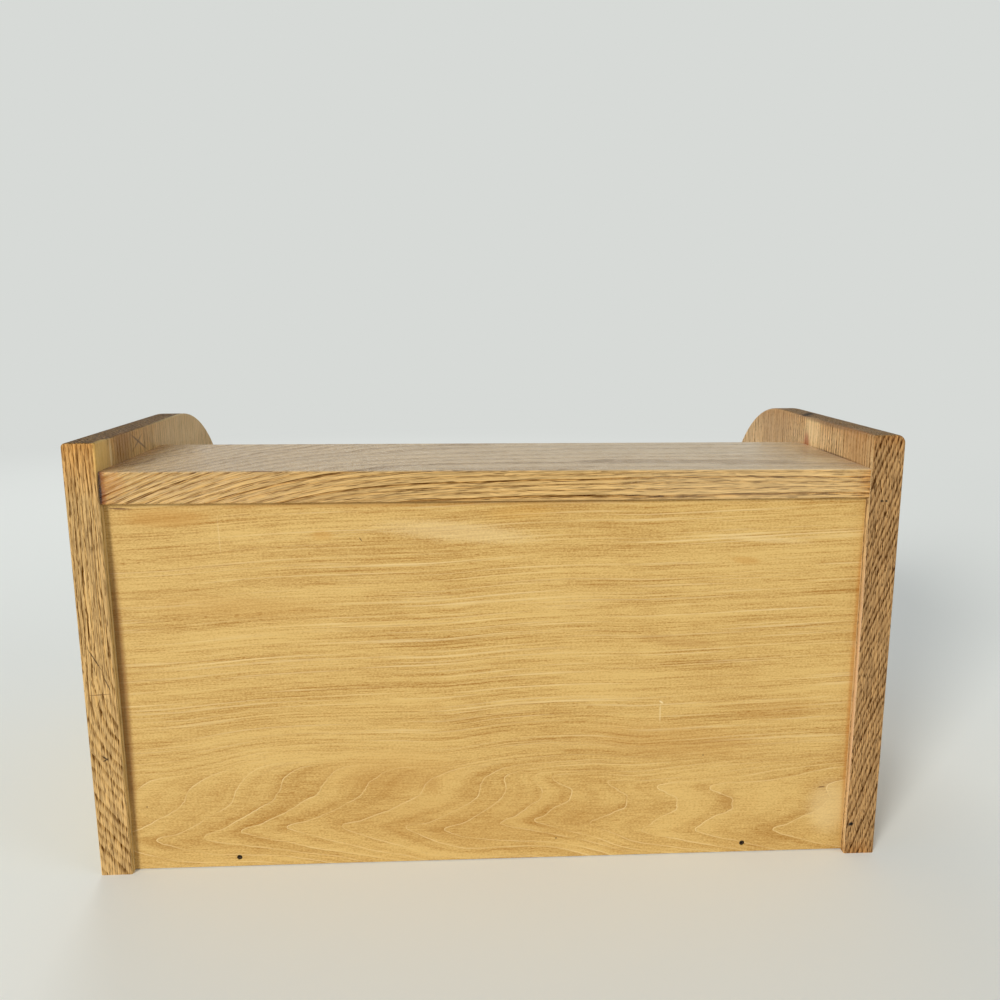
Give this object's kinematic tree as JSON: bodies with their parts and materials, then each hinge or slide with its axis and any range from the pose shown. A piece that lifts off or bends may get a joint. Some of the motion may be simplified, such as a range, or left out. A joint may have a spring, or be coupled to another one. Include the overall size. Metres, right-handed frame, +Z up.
{
  "type": "bread box with drawer",
  "caption": "Oak roll-top bread box with shaped sides, a plywood back, a slatted curtain that slides up and back, and a shallow drawer below.",
  "frame": {"origin": "on the surface that the box stands on, under the middle of the box with its drawer knobs", "axes": "+Z up, -Y out of the front, where the curtain and the drawer are; +X to the right of someone facing the front"},
  "size_m": [0.4826, 0.3124, 0.267],
  "materials": {
    "case_oak": "satin clear varnish over open-pored oak",
    "back_plywood": "satin golden varnish over smooth birch-faced plywood",
    "curtain_oak": "satin clear varnish over open-pored oak",
    "curtain_canvas": "plain-woven unbleached cotton canvas, glued",
    "knob_oak": "satin clear varnish, lathe-turned",
    "drawer_front_oak": "satin clear varnish over open-pored oak",
    "drawer_poplar": "bare sanded wood",
    "drawer_plywood": "bare sanded plywood",
    "nail_steel": "dull bright-steel finish nails",
    "back_nail_steel": "dull steel, darkened at the rim",
    "screw_steel": "zinc-plated steel"
  },
  "bodies": {
    "case": {"side_left": "case_oak", "side_right": "case_oak", "top_board": "case_oak", "shelf_board": "case_oak", "bottom_board": "case_oak", "back_panel": "back_plywood", "back_panel_nails": "back_nail_steel", "case_nails_left": "nail_steel", "case_nails_right": "nail_steel"},
    "curtain": {"curtain_slat_01": "curtain_oak", "curtain_slat_02": "curtain_oak", "curtain_slat_03": "curtain_oak", "curtain_slat_04": "curtain_oak", "curtain_slat_05": "curtain_oak", "curtain_slat_06": "curtain_oak", "curtain_slat_07": "curtain_oak", "curtain_slat_08": "curtain_oak", "curtain_slat_09": "curtain_oak", "curtain_slat_10": "curtain_oak", "curtain_slat_11": "curtain_oak", "curtain_slat_12": "curtain_oak", "curtain_slat_13": "curtain_oak", "curtain_slat_14": "curtain_oak", "curtain_slat_15": "curtain_oak", "curtain_pull_rail": "curtain_oak", "curtain_canvas": "curtain_canvas", "curtain_knob_left": "knob_oak", "curtain_knob_right": "knob_oak", "curtain_knob_screws": "screw_steel"},
    "drawer": {"drawer_front": "drawer_front_oak", "drawer_side_left": "drawer_poplar", "drawer_side_right": "drawer_poplar", "drawer_back": "drawer_poplar", "drawer_bottom": "drawer_plywood", "drawer_knob_left": "knob_oak", "drawer_knob_right": "knob_oak", "drawer_knob_screws": "screw_steel", "drawer_nails": "nail_steel"}
  },
  "joints": [
    {"name": "curtain_roll", "type": "hinge", "parent": "case", "child": "curtain", "pos_m": [0, 0.01815, 0.10635], "axis": [-1, 0, 0], "range_deg": [0, 80]},
    {"name": "drawer_slide", "type": "slide", "parent": "case", "child": "drawer", "axis": [0, -1, 0], "range_m": [0, 0.2]}
  ]
}
